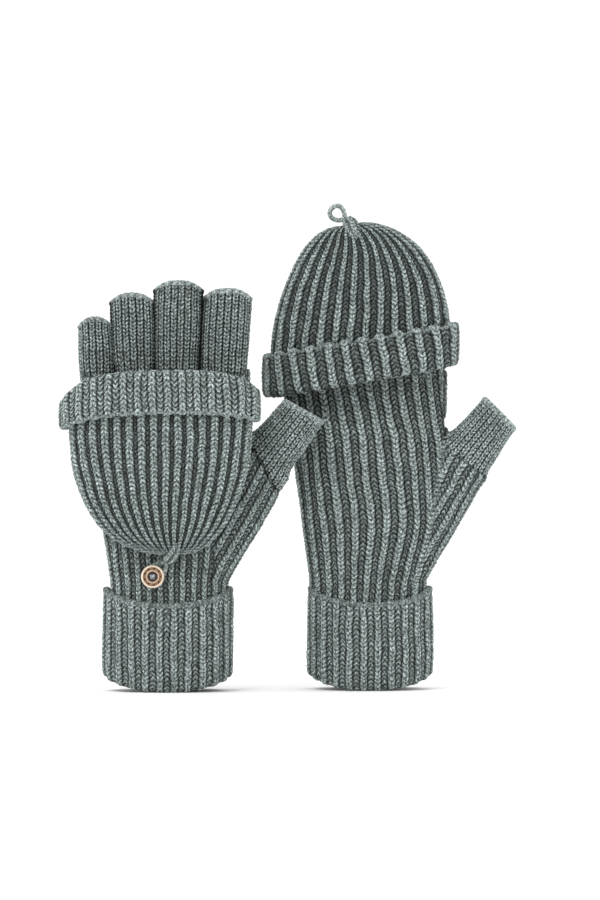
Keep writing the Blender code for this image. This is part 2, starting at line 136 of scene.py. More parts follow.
# Heights of a row of stitches, and how ribbing looks: the raised columns' share of the width, how far they
# stand up, and how much light the painted shade leaves on the sunk stitches between them.
HAND_ROW, CUFF_ROW, HOOD_ROW, BAND_ROW, PLAIN_ROW = 2.5, 2.4, 2.45, 2.4, 2.1
HAND_RIB, GUSSET_RIB, CUFF_RIB = (0.52, 1.7, 0.62), (0.54, 1.5, 0.66), (0.50, 1.6, 0.74)
TIP_RIB = (0.75, 0.7, 0.5)
# What is added to a mitten's seed, so that each piece is uneven in its own way.
GUSSET_SEED, THUMB_SEED, CUFF_SEED, FINGER_SEED, HOOD_SEED, BAND_SEED = 3, 5, 60, 70, 80, 90

THUMB_PIVOT = (50.0, 122.0)
THUMB_ANGLE = math.radians(51.4)
THUMB_LENGTH = 31.0
THUMB_ROOT = (14.3, 12.0)
THUMB_TIP = (11.6, 10.4)
THUMB_V = -2.0
THUMB_WALES = 23
THUMB_WALL = 2.4
THUMB_SUNK = 20.0  # how far the thumb's round root reaches into the hand
# The rolled edge of its open end: (how far past the end, inset).
THUMB_ROLL = ((-2.8, 0.5), (-2.2, -0.25), (-1.2, -0.5), (-0.4, -0.2), (0.0, 0.5), (0.1, 1.2), (-0.3, 2.0))

# Fingers: centre and half width at the root, the same at the open end, height of the end, wales around.
FINGERS = {
    "little_finger": (-38.0, 9.0, -39.4, 8.8, 197.4, 16),
    "ring_finger": (-18.6, 10.6, -20.0, 11.6, 210.0, 18),
    "middle_finger": (3.4, 11.6, 4.4, 12.8, 216.5, 20),
    "index_finger": (27.6, 12.0, 30.2, 12.6, 212.4, 19),
}
# How a finger gives way under the hood: how far the squeeze leans across, what it keeps, and from which u.
FINGER_GIVES = {
    "little_finger": (-0.40, 0.52, -30.0),
    "ring_finger": (0.0, 0.60, -18.6),
    "middle_finger": (0.0, 0.56, 3.4),
    "index_finger": (0.45, 0.52, 16.0),
}
FINGER_FOOT = 157.0
FINGER_V, FINGER_HALF_DEPTH = 2.2, 8.8
FINGER_POWER = 2.2
FINGER_WALL = 2.0
FINGER_DIP = 4.4  # how far an open end dips at its two sides
FINGER_SUNK = 3.6  # how much a finger's foot narrows inside the hand

CUFF_OUT = 3.4
CUFF_TOP = 46.5
CUFF_TOP_LIFT, CUFF_FOOT_LIFT = 8.2, 7.4  # how much higher the cuff's edges lie at its two sides
CUFF_RIBS = 24

HOOD_HALF_WIDTH = 47.3
HOOD_POWER = 3.1
HOOD_WALL = 2.2
BAND_REACH = math.radians(25.0)

BUTTON_U, BUTTON_W = -8.7, 61.0
SHANK_FOOT_V, BUTTON_BACK_V = 14.9, 19.2
BUTTON_THICKNESS, BUTTON_SCALE = 3.0, 0.95
SEAM_V, SEAM_W, SEAM_RADIUS = 12.6, 164.4, 1.2
SEAM_LEFT, SEAM_RIGHT = -36.0, 28.0
TIP_LENGTH = 3.4
WORN_TIP_AIM, WORN_LOOP_AIM = (-7.0, 0.0, 9.5), (-9.2, 0.0, 7.6)
LOOP_CORD_RADIUS, LOOP_HALF_WIDTH, LOOP_LENGTH, LOOP_PAST_SHANK = 1.25, 4.4, 8.4, 3.4

# How the two mittens differ: (left, right). The left one shows its back, its hood folded down.
MITTENS = {
    "side": ("left", "right"),
    "stand": ((-63.66, -0.5), (41.54, 25.5)),
    "facing": (-1, 1),
    "folded": (True, False),
    "seed": (3.0, 11.0),
    "cuff_shift": (-0.9, 1.1),
    "cuff_tight": (0.4, 1.6),
    "thumb_lean": (5.0, -1.0),
    "thumb_slant": (0.16, -0.12),
    "thumb_length": (33.6, 32.4),
    "root_line": ((-2.7, -0.38), (0.5, 0.0)),
    "root_crease": (1.0, 0.2),
    "depth": (28.0, 38.0),
    "dome_start": (20.0, 10.0),
    "height": (94.0, 80.5),
    "dome_power": (2.3, 2.2),
    "dome_lean": (0.0, 1.9),
    "shoulder": (0.0, 2.2),
    "front_edge": (-1.1, -3.0),
    "edge_slope": (-0.02, 0.179),
    "hood_ribs": (34, 29),
    "hood_rib": ((0.68, 2.2, 0.52), (0.5, 2.2, 0.52)),
    "tip": ((1.0, -2.6), (-9.5, -15.0)),
    "gather_foot": ((4.0, -13.0, 8.0), (2.6, -24.5, 10.0)),
    "gather_belly": (-4.0, -3.5),
    "gather_radius": (3.6, 4.2),
    "band_height": (21.7, 22.5),
    "band_ribs": (18, 16),
    "band_rib": ((0.5, 1.4, 0.8), (0.48, 1.4, 0.56)),
    "band_droop": ((6.5, 4.5), (0.0, 0.0)),
    "band_rounding": ((7.0, 5.0), (1.0, 1.0)),
    "band_scallop": (0.2, 0.8),
}
LEFT, RIGHT = (SimpleNamespace(**{key: pair[k] for key, pair in MITTENS.items()}) for k in (0, 1))


# ---- small helpers


def smooth(low, high, x):
    share = np.clip((x - low) / (high - low), 0.0, 1.0)
    return share * share * (3 - 2 * share)


def table(pairs, x):
    return np.interp(x, pairs[:, 0], pairs[:, 1])


def signed_power(value, power):
    return np.sign(value) * np.abs(value) ** power


def oval(angle, power):
    """How far across and how deep, from -1 to 1, a superellipse is at an angle."""
    return signed_power(np.cos(angle), 2 / power), signed_power(np.sin(angle), 2 / power)


def circle(count):
    return np.linspace(0.0, TAU, count, endpoint=False)


def joined(u, v, w):
    return np.stack((u, v, w), axis=-1)


def running_length(steps):
    return np.concatenate(([0.0], np.cumsum(steps)))


def speckle(x, y, z):
    """A repeatable number from 0 to 1 for each whole-numbered point."""
    mixed = np.sin(x * 127.1 + y * 311.7 + z * 74.7) * 43758.5453
    return mixed - np.floor(mixed)


def wander(points, size, seed):
    """Smooth noise from -1 to 1 that varies over about so many millimetres."""
    scaled = points / size + seed
    cell = np.floor(scaled)
    share = scaled - cell
    share = share * share * (3 - 2 * share)
    total = np.zeros(points.shape[:-1])
    for corner in range(8):
        step = np.array((corner & 1, corner >> 1 & 1, corner >> 2 & 1))
        weight = np.prod(np.where(step == 1, share, 1 - share), axis=-1)
        total += weight * speckle(*np.moveaxis(cell + step, -1, 0))
    return 2 * total - 1


def unit(vectors):
    return vectors / np.maximum(np.linalg.norm(vectors, axis=-1, keepdims=True), 1e-9)


# ---- the knitting


def half_round(phase):
    """The top of a round strand, once per whole number."""
    across = 2 * (phase - np.floor(phase)) - 1
    return np.sqrt(1 - 0.98 * across * across)


def rib_stitches(wale, row, share, rise, sunk_light):
    """Height and painted shade of ribbing: wale counts ribs, row counts stitches up them, share is how much
    of the width the raised columns take, and sunk_light how much light the painted shade leaves on the purl
    stitches sunk between them."""
    x = np.abs(wale - np.floor(wale) - 0.5) * 2
    leg = np.clip(x / share, 0.0, 1.0)
    twin = np.sqrt(np.clip(1 - (2 * leg - 1) ** 2, 0.0, 1.0))
    strand = half_round(row - 0.75 * leg)
    dome = np.sqrt(np.clip(1 - (0.93 * leg) ** 2, 0.0, 1.0))
    raised = rise * dome + 0.50 * (twin - 1) + 0.80 * (strand - 1) * (0.5 + 0.5 * twin)
    # painted shade: the raised stitches are darker in the gaps between strands and legs, and down the sides
    # of each rib
    raised_shade = 0.12 + 0.88 * strand**1.2 * (0.30 + 0.70 * twin) * (0.50 + 0.50 * dome)
    valley = np.clip((x - share) / np.maximum(1 - share, 1e-3), 0.0, 1.0)
    bar = half_round(row + 0.35 - 0.85 * valley)
    sunk = 0.90 * (bar - 1) * (0.5 + 0.5 * valley) + 0.60 * valley
    # painted shade: the sunk purl stitches are darker between their bars and next to the raised columns
    sunk_shade = sunk_light * (0.06 + 0.94 * bar**1.6) * (0.30 + 0.70 * smooth(0.0, 0.55, valley))
    inside = smooth(share + 0.05, share - 0.05, x)
    height = inside * raised + (1 - inside) * sunk
    return height, inside * raised_shade + (1 - inside) * sunk_shade


def plain_stitches(wale, row):
    """Height and painted shade of stockinette: one column of V stitches per whole number, darker in the gaps
    between strands and between columns.
    """
    leg = np.abs(wale - np.floor(wale) - 0.5) * 2
    twin = np.sqrt(np.clip(1 - (2 * leg - 1) ** 2, 0.0, 1.0))
    strand = half_round(row - 0.8 * leg)
    height = 0.60 * (twin - 1) + 0.75 * (strand - 1)
    # painted shade: darker where one column of stitches meets the next
    between = 1 - 0.85 * smooth(0.62, 1.0, leg)
    return height - 0.4 * (1 - between), 0.02 + 1.06 * strand**1.3 * (0.10 + 0.90 * twin) * between


def uneven(points, wale, row, seed):
    """Hand-made unevenness: stitches stray a little sideways and along, over a few stitches."""
    wale = wale + 0.06 * wander(points, 11.0, seed) + 0.05 * wander(points, 3.5, seed + 7)
    row = row + 0.50 * wander(points, 13.0, seed + 20) + 0.26 * wander(points, 3.0, seed + 31)
    return wale, row


def roughness(points, seed):
    """The fluff of the yarn, from the size of a stitch down to that of a ply."""
    return 0.14 * wander(points, 2.1, seed + 50) + 0.13 * wander(points, 0.95, seed + 60)


def rib_skin(points, wale, row, rib, seed):
    wale, row = uneven(points, wale, row, seed)
    height, shade = rib_stitches(wale, row, *rib)
    height = height - 0.45 * rib[1] + 0.45 * wander(points, 17.0, seed + 40) + roughness(points, seed)
    return height, shade


def plain_skin(points, wale, row, seed):
    wale, row = uneven(points, wale, row, seed)
    height, shade = plain_stitches(wale, row)
    height = height + 0.40 + 0.35 * wander(points, 12.0, seed + 40) + roughness(points, seed)
    return height, shade


# ---- meshes


def world(mitten, points):
    """Points of the mitten's frame, in metres in the world."""
    x, y = mitten.stand
    placed = np.empty_like(points)
    placed[:, 0] = x + points[:, 0]
    placed[:, 1] = y + mitten.facing * points[:, 1]
    placed[:, 2] = points[:, 2]
    return placed * MM


def add_object(mitten, name, points, faces, shade, finish):
    """A mesh from points in the mitten's frame; faces wind outwards in that frame."""
    if mitten.facing < 0:
        faces = faces[:, ::-1]
    corners = faces.shape[1]
    mesh = bpy.data.meshes.new(name)
    mesh.vertices.add(len(points))
    mesh.vertices.foreach_set("co", world(mitten, points).astype(np.float32).ravel())
    mesh.loops.add(faces.size)
    mesh.loops.foreach_set("vertex_index", faces.astype(np.int32).ravel())
    mesh.polygons.add(len(faces))
    mesh.polygons.foreach_set("loop_start", np.arange(0, faces.size, corners, dtype=np.int32))
    mesh.update(calc_edges=True)
    mesh.validate()
    mesh.shade_smooth()
    shades = mesh.attributes.new("shade", "FLOAT", "POINT")
    shades.data.foreach_set("value", shade.astype(np.float32).ravel())
    mesh.materials.append(finish)
    piece = bpy.data.objects.new(f"{mitten.side}_{name}", mesh)
    bpy.context.scene.collection.objects.link(piece)
    return piece


def grid_faces(rows, cols, close_rows, close_cols):
    i = np.arange(rows if close_rows else rows - 1)[:, None]
    j = np.arange(cols if close_cols else cols - 1)[None, :]
    after_i, after_j = (i + 1) % rows, (j + 1) % cols
    corners = (i * cols + j, i * cols + after_j, after_i * cols + after_j, after_i * cols + j)
    return np.stack([np.broadcast_to(c, (i.size, j.size)) for c in corners], axis=-1).reshape(-1, 4)


def slopes(points, axis, closed):
    if closed:
        return np.roll(points, -1, axis=axis) - np.roll(points, 1, axis=axis)
    return np.gradient(points, axis=axis)


def outward(points, faces):
    """+1 where the faces of a closed skin wind outwards, else -1."""
    flat = points.reshape(-1, 3)
    a, b, c, d = (flat[faces[:, k]] for k in range(4))
    volume = np.sum(a * np.cross(b, c)) + np.sum(a * np.cross(c, d))
    return 1 if volume > 0 else -1


def grid_piece(mitten, name, points, height, shade, finish, close_rows=True, close_cols=True):
    """A closed skin over a grid of points, pushed out by height."""
    rows, cols = points.shape[:2]
    faces = grid_faces(rows, cols, close_rows, close_cols)
    sign = outward(points, faces)
    across, along = slopes(points, 1, close_cols), slopes(points, 0, close_rows)
    normals = sign * unit(np.cross(across, along))
    moved = points + normals * height[..., None]
    if sign < 0:
        faces = faces[:, ::-1]
    return add_object(mitten, name, moved.reshape(-1, 3), faces, shade, finish)


def even_angles(half_u, half_v, power, count, start=0.0, sweep=TAU, closed=True):
    """Angles that are evenly spaced along a superellipse, and its length."""
    angle = start + sweep * np.linspace(0.0, 1.0, 6001)
    across, deep = oval(angle, power)
    length = running_length(np.hypot(np.diff(half_u * across), np.diff(half_v * deep)))
    wanted = np.linspace(0.0, length[-1], count, endpoint=not closed)
    return np.interp(wanted, length, angle), length[-1]


def along_profile(points):
    """How far each row of a grid lies along the piece, averaged over its columns."""
    steps = np.linalg.norm(np.diff(points, axis=0), axis=-1).mean(axis=1)
    return running_length(steps)[:, None]


# ---- the hand, its gusset and thumb


def thumb_axes(u, w):
    """Distance along the thumb from its pivot, and across it, away from the fingers."""
    du, dw = u - THUMB_PIVOT[0], w - THUMB_PIVOT[1]
    c, s = math.cos(THUMB_ANGLE), math.sin(THUMB_ANGLE)
    return du * c + dw * s, du * s - dw * c


def hand_distance(points):
    """Roughly the distance to the hand without its thumb."""
    u, v, w = points[..., 0], points[..., 1], points[..., 2]
    left, right, palm, back = (np.interp(w, HAND[:, 0], HAND[:, k]) for k in range(1, 5))
    half_u, half_v = (right - left) / 2, (back - palm) / 2
    x, y = np.abs(u - (left + right) / 2) / half_u, np.abs(v - (palm + back) / 2) / half_v
    size = (x**HAND_POWER + y**HAND_POWER) ** (1 / HAND_POWER) + 1e-6
    steep = np.hypot((x / size) ** (HAND_POWER - 1) / half_u, (y / size) ** (HAND_POWER - 1) / half_v)
    side = (size - 1) / steep
    closes_at = HAND_TOP + PALM_RISE * (1 - smooth(-6.0, 12.0, v))
    return soft_max(side, w - closes_at, 3.0)


def thumb_distance(mitten, points):
    s, n = thumb_axes(points[..., 0], points[..., 2])
    share = np.clip(s / THUMB_LENGTH, -0.3, 1.3)
    sunk = 1 + np.minimum(s, 0.0) / 50.0
    half_n = (THUMB_ROOT[0] + (THUMB_TIP[0] - THUMB_ROOT[0]) * np.maximum(share, 0.0)) * sunk
    half_v = (THUMB_ROOT[1] + (THUMB_TIP[1] - THUMB_ROOT[1]) * np.maximum(share, 0.0)) * sunk
    centre_v = THUMB_V + mitten.thumb_lean * np.clip(share, 0.0, 1.3)
    x, y = n / half_n, (points[..., 1] - centre_v) / half_v
    size = np.hypot(x, y) + 1e-6
    steep = np.hypot(x / size / half_n, y / size / half_v)
    return soft_max((size - 1) / steep, -(s + THUMB_SUNK), 3.0)


def soft_max(a, b, reach):
    mix = np.clip(0.5 + 0.5 * (a - b) / reach, 0.0, 1.0)
    return b + (a - b) * mix + reach * mix * (1 - mix)


def soft_min(a, b, reach):
    return -soft_max(-a, -b, reach)


def body_distance(mitten, points):
    return soft_min(hand_distance(points), thumb_distance(mitten, points), 6.5)


def surface_net(distance, low, high, step):
    """The zero surface of a distance function, as points and outward-wound four-cornered faces."""
    axes = [np.arange(a, b, step, dtype=np.float32) for a, b in zip(low, high)]
    shape = tuple(len(axis) for axis in axes)
    values = np.empty(shape, dtype=np.float32)
    for k, w in enumerate(axes[2]):
        u, v = np.meshgrid(axes[0], axes[1], indexing="ij")
        values[:, :, k] = distance(joined(u, v, np.full_like(u, w)))
    inside = values < 0
    count = sum(
        inside[i : shape[0] - 1 + i, j : shape[1] - 1 + j, k : shape[2] - 1 + k].astype(np.int8)
        for i in (0, 1)
        for j in (0, 1)
        for k in (0, 1)
    )
    cells = np.argwhere((count > 0) & (count < 8))
    number = np.full(count.shape, -1, dtype=np.int32)
    number[tuple(cells.T)] = np.arange(len(cells))
    total = np.zeros((len(cells), 3))
    hits = np.zeros(len(cells))
    for axis in range(3):
        for first, second in ((0, 0), (0, 1), (1, 0), (1, 1)):
            start = np.zeros(3, dtype=int)
            start[(axis + 1) % 3], start[(axis + 2) % 3] = first, second
            end = start.copy()
            end[axis] = 1
            a, b = values[tuple((cells + start).T)], values[tuple((cells + end).T)]
            crossed = (a < 0) != (b < 0)
            share = np.where(crossed, a / np.where(crossed, a - b, 1.0), 0.0)
            place = start + share[:, None] * (end - start)
            total += place * crossed[:, None]
            hits += crossed
    points = np.array(low) + (cells + total / hits[:, None]) * step
    faces = []
    for axis in range(3):
        one, two = (axis + 1) % 3, (axis + 2) % 3
        near = [slice(1, size - 1) for size in shape]
        far = list(near)
        near[axis], far[axis] = slice(0, shape[axis] - 1), slice(1, shape[axis])
        change = inside[tuple(near)].astype(np.int8) - inside[tuple(far)].astype(np.int8)
        for sign in (1, -1):
            spots = np.argwhere(change == sign)
            spots[:, one] += 1
            spots[:, two] += 1
            ring = []
            for back_one, back_two in ((1, 1), (0, 1), (0, 0), (1, 0))[::sign]:
                cell = spots.copy()
                cell[:, one] -= back_one
                cell[:, two] -= back_two
                ring.append(number[tuple(cell.T)])
            faces.append(np.stack(ring, axis=-1))
    return points, np.concatenate(faces)


def gradient(distance, points):
    step = 0.05
    return unit(
        np.stack(
            [distance(points + step * axis) - distance(points - step * axis) for axis in np.eye(3)], axis=-1
        )
    )


def around_share(points):
    """How far round half the hand a point lies: 0 at the little-finger edge, 1 at the thumb edge."""
    u, v, w = points.T
    left = np.interp(w, HAND[:, 0], HAND[:, 1])
    right = table(PLAIN_EDGE, w)
    bow = PALM_BOW * smooth(PALM_BOW_HIGH, PALM_BOW_LOW, w) * (v < PALM_SIDE_V)
    bow = bow * (1 - PALM_BOW_EASE * smooth(PALM_BOW_EASES, CUFF_TOP, w))
    bow = bow * np.clip((u - PALM_BOW_FROM) / (PALM_BOW_TO - PALM_BOW_FROM), 0.0, 1.0)
    x = np.clip((2 * (u - bow) - left - right) / (right - left), -1.0, 1.0)
    across, deep = oval(np.linspace(math.pi, 0.0, 2001), HAND_POWER)
    length = running_length(np.hypot(np.diff(across), np.diff(0.42 * deep)))
    return np.interp(x, across, length / length[-1])


def on_thumb(mitten, points):
    """More than 0 on the thumb's plain knitting, which starts at a line across its root."""
    s, n = thumb_axes(points[:, 0], points[:, 2])
    start, slant = mitten.root_line
    return np.minimum(s - start - slant * n, n + 15.2)


def gusset_stitches(points, palm, seed):
    """The gusset's ribs, counted from its rounded outer edge and leaning with it."""
    u, v, w = points.T
    lean = table(EDGE_LEAN, w)
    inward = np.maximum((table(OUTER_EDGE, w) - u) * np.cos(lean), 0.0)
    up = w * np.cos(lean) + u * np.sin(lean)
    bent = np.minimum(inward / GUSSET_ROUND, 1.0)
    on_edge = GUSSET_ROUND * np.arcsin(np.minimum(np.abs(v - PALM_SIDE_V) / GUSSET_ROUND, 1.0))
    beyond = GUSSET_ROUND * np.arccos(1 - bent) + np.maximum(inward - GUSSET_ROUND, 0.0)
    arc = on_edge + (beyond - on_edge) * smooth(1.5, 6.0, inward)
    wale = HAND_RIBS / 2 + np.where(palm, -1, 1) * arc / GUSSET_PITCH
    return rib_skin(points, wale, up / HAND_ROW, GUSSET_RIB, seed + GUSSET_SEED)


def sew_gusset(beside, w, palm, height, shade):
    """The gusset's seam: a pale chain of stitches down the palm with painted shade between its stitches, and
    a groove down the back darkened with painted shade.
    """
    near = np.exp(-((beside / SEAM_BREADTH) ** 2))
    near = near * smooth(CROTCH_W + 2.0, CROTCH_W - 4.0, w) * smooth(52.0, 66.0, w)
    chain = half_round(w / HAND_ROW)
    ridge = np.where(palm, near, 0.0)
    groove = np.where(palm, 0.0, 0.5 * near)
    height = height * (1 - 0.8 * ridge) + ridge * (0.9 * chain - 0.3)
    height = height * (1 - 0.7 * groove) - 0.5 * groove
    shade = shade * (1 - 0.8 * ridge) + ridge * 0.62 * chain
    # painted shade: the knitting is darker in the groove
    return height, shade * (1 - 0.45 * groove)


def thumb_stitches(mitten, points):
    s, n = thumb_axes(points[:, 0], points[:, 2])
    centre_v = THUMB_V + mitten.thumb_lean * np.clip(s / THUMB_LENGTH, 0.0, 1.0)
    wale = THUMB_WALES * np.arctan2(points[:, 1] - centre_v, n) / TAU
    return plain_skin(points, wale, s / PLAIN_ROW, mitten.seed + THUMB_SEED)


def hand_stitches(mitten, points):
    """Height and painted shade all over the hand: ribs, gusset ribs beside the seams, plain knitting on the
    thumb, and a crease round the thumb's root.
    """
    u, v, w = points.T
    seed = mitten.seed
    palm = v < PALM_SIDE_V
    wale = np.where(palm, 1, -1) * (HAND_RIBS / 2) * around_share(points)
    height, shade = rib_skin(points, wale, w / HAND_ROW, HAND_RIB, seed)

    gusset_height, gusset_shade = gusset_stitches(points, palm, seed)
    beside = u - np.where(palm, table(PALM_SEAM, w), table(BACK_SEAM, w))
    in_gusset = (beside > 0) & (w < CROTCH_W + 4.0)
    height = np.where(in_gusset, gusset_height, height)
    shade = np.where(in_gusset, gusset_shade, shade)
    height, shade = sew_gusset(beside, w, palm, height, shade)

    thumb_height, thumb_shade = thumb_stitches(mitten, points)
    past = on_thumb(mitten, points)
    height = np.where(past > 0, thumb_height, height)
    shade = np.where(past > 0, thumb_shade, shade)
    crease = mitten.root_crease * np.exp(-((past / 1.1) ** 2))
    # painted shade: the knitting is darker in the crease round the thumb's root
    return height - 0.55 * crease, shade * (1 - 0.5 * crease)


def thumb_end(mitten, n):
    return mitten.thumb_length + mitten.thumb_slant * n


def thumb_rim(mitten):
    """The thumb's open end, a rolled edge and the inner wall: points, outward-wound faces and shade, with
    painted shade between the rim's beads and on the inner wall.
    """
    profile = THUMB_ROLL + tuple((-back, THUMB_WALL) for back in np.arange(1.2, 22.0, 0.9))
    angle = circle(160)
    c, t = math.cos(THUMB_ANGLE), math.sin(THUMB_ANGLE)
    rows = []
    for past, inset in profile:
        half_n, half_v = THUMB_TIP[0] - inset, THUMB_TIP[1] - inset
        n = half_n * np.cos(angle)
        s = thumb_end(mitten, n) + past
        v = THUMB_V + mitten.thumb_lean * s / THUMB_LENGTH + half_v * np.sin(angle)
        rows.append(joined(THUMB_PIVOT[0] + s * c + n * t, v, THUMB_PIVOT[1] + s * t - n * c))
    rim = np.array(rows)
    faces = grid_faces(*rim.shape[:2], False, True)
    normals = unit(np.cross(slopes(rim, 1, True), slopes(rim, 0, False)))
    sign = 1 if np.sum(normals[2] * (rim[2] - rim[2].mean(axis=0))) > 0 else -1
    wale = THUMB_WALES * angle / TAU
    bead = np.broadcast_to(0.3 * np.abs(np.sin(wale * math.pi)), rim.shape[:2])
    # painted shade: darker between the rim's beads, and dark on the inner wall inside the thumb
    shade = 0.55 + 0.9 * bead
    shade[len(THUMB_ROLL) :] = 0.25
    rim = rim + sign * normals * bead[..., None]
    return rim.reshape(-1, 3), faces[:, ::sign], shade.ravel()


def add_hand_and_thumb(mitten, knit):
    def distance(points):
        return body_distance(mitten, points)

    points, faces = surface_net(distance, (-53.0, -29.0, HAND_BOTTOM), (84.0, 21.0, 178.0), FINE)
    normals = gradient(distance, points)
    points = points - normals * distance(points)[:, None]
    s, n = thumb_axes(points[:, 0], points[:, 2])
    beyond = (s > thumb_end(mitten, n) - 1.4) & (n > -16.0)
    faces = faces[~beyond[faces].any(axis=1)]
    height, shade = hand_stitches(mitten, points)
    points = points + normals * height[:, None]
    is_thumb = (on_thumb(mitten, points) > 0)[faces].all(axis=1)

    hand = compact(points, faces[~is_thumb], shade)
    thumb_points, thumb_faces, thumb_shade = compact(points, faces[is_thumb], shade)
    rim_points, rim_faces, rim_shade = thumb_rim(mitten)
    thumb = (
        np.concatenate((thumb_points, rim_points)),
        np.concatenate((thumb_faces, rim_faces + len(thumb_points))),
        np.concatenate((thumb_shade, rim_shade)),
    )
    side = mitten.side
    start, end = world(mitten, np.array(((46.0, 0.0, 122.0), (64.0, 0.0, 122.0))))
    for node, skin in (("hand", hand), ("thumb", thumb)):
        piece = add_object(mitten, f"{node}_knit", *skin, knit)
        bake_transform(piece)
        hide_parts(f"{side}_{node}")


def compact(points, faces, shade):
    used, renumbered = np.unique(faces, return_inverse=True)
    return points[used], renumbered.reshape(faces.shape), shade[used]


# ---- cuff, fingers, hood and band


def attach(mitten, piece, body, node):
    side = mitten.side
    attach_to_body(piece, f"{side}_{body}")
    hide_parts(f"{side}_{node}")


def add_cuff(mitten, knit):
    """The turned-up cuff: a round fold at the foot, a ribbed wall, and a bound-off edge."""
    _, left, right, palm, back = HAND[0]
    centre_u, centre_v = (left + right) / 2 + mitten.cuff_shift, (palm + back) / 2
    half_u, half_v = (right - left) / 2 - mitten.cuff_tight + 0.6, (back - palm) / 2
    angle, _ = even_angles(half_u + CUFF_OUT, half_v + CUFF_OUT, HAND_POWER, 420)
    half_turn, edge_turn = np.linspace(0.0, math.pi, 13), np.linspace(0.2, math.pi, 9)
    climb = np.linspace(0.01, 1.0, 84)
    profile = [(-1.2, 12.0), (-1.2, 6.0)]
    profile += [(1.1 - 2.3 * math.cos(a), 3.2 - 2.9 * math.sin(a)) for a in half_turn]
    profile += [(CUFF_OUT + 0.2 * math.sin(math.pi * t), 3.4 + (CUFF_TOP - 4.6) * t) for t in climb]
    profile += [(1.9 + 1.6 * math.cos(a), CUFF_TOP - 1.1 + 1.3 * math.sin(a)) for a in edge_turn]
    profile += [(0.4, CUFF_TOP - 4.0), (0.2, CUFF_TOP - 10.0), (0.0, 20.0), (-0.5, 14.0)]
    out, up = np.array(profile).T[:, :, None]
    across, deep = oval(angle, HAND_POWER)
    lift = (1 - np.sqrt(1 - (0.98 * across) ** 2)) / 0.8
    w = up + lift * (CUFF_FOOT_LIFT + (CUFF_TOP_LIFT - CUFF_FOOT_LIFT) * up / CUFF_TOP)
    points = joined(centre_u + (half_u + out) * across, centre_v + (half_v + out) * deep, w)
    wale = CUFF_RIBS * np.arange(len(angle)) / len(angle)
    row = along_profile(points) / CUFF_ROW
    height, shade = rib_skin(points, wale, row, CUFF_RIB, mitten.seed + CUFF_SEED)
    seen = ((out > 1.2) & (up < CUFF_TOP - 1.5)) * smooth(0.4, 3.0, out)
    seen = seen * (0.35 + 0.65 * smooth(CUFF_TOP - 2.0, CUFF_TOP - 8.0, up))
    edge = (up >= CUFF_TOP - 2.4) & (out > 0.45)
    bead = 0.16 * np.abs(np.sin(wale * 2 * math.pi))
    height = height * np.maximum(seen, 0.3 * edge) + edge * (bead + 0.15)
    # painted shade: darker between the beads of the bound-off edge, and dark on the cuff's inside
    shade = np.where(edge, 0.30 + 0.3 * shade + bead, shade) * np.where(out < 0.9, 0.35, 1.0)
    piece = grid_piece(mitten, "wrist_cuff_knit", points, height, shade, knit)
    attach(mitten, piece, "mitten", "wrist_cuff")


def finger_sizes(mitten, name):
    """A finger's measures; under its hood it is gathered towards the middle and curled."""
    root_u, root_half, end_u, end_half, end_w, wales = FINGERS[name]
    if mitten.folded:
        return root_u, root_half, end_u, end_half, end_w, 0.0, wales
    root_u = HOOD_CENTRE_U + (root_u - HOOD_CENTRE_U) * 0.95
    end_u = HOOD_CENTRE_U + (end_u - HOOD_CENTRE_U) * 0.80
    return root_u, root_half * 0.95, end_u, end_half * 0.75, end_w, -5.0, wales


def crumple(mitten, piece, name):
    """Gives the finger a mesh of its own; how it would give way under the hood is looked up but not applied.
    """
    inwards, keep, root_u = FINGER_GIVES[name]
    anchor = tuple(world(mitten, np.array(((root_u, FINGER_V, HINGE_W - 4.0),)))[0])
    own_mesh(piece)


def finger_profile(length):
    """(inset, height) up a finger, over its rim and down its inside, and where the rim starts and ends."""
    outer = [(0.0, s) for s in np.arange(0.0, length - 2.6, FINE)]
    rim = [(-0.35, length - 2.4), (-0.55, length - 1.6), (-0.5, length - 0.9), (0.0, length - 0.3)]
    rim += [(0.7, length), (1.4, length - 0.2), (FINGER_WALL, length - 1.0)]
    inner = [(FINGER_WALL, s) for s in np.arange(length - 3.0, 0.0, -COARSE)]
    return np.array(outer + rim + inner).T[:, :, None], len(outer), len(outer) + len(rim)


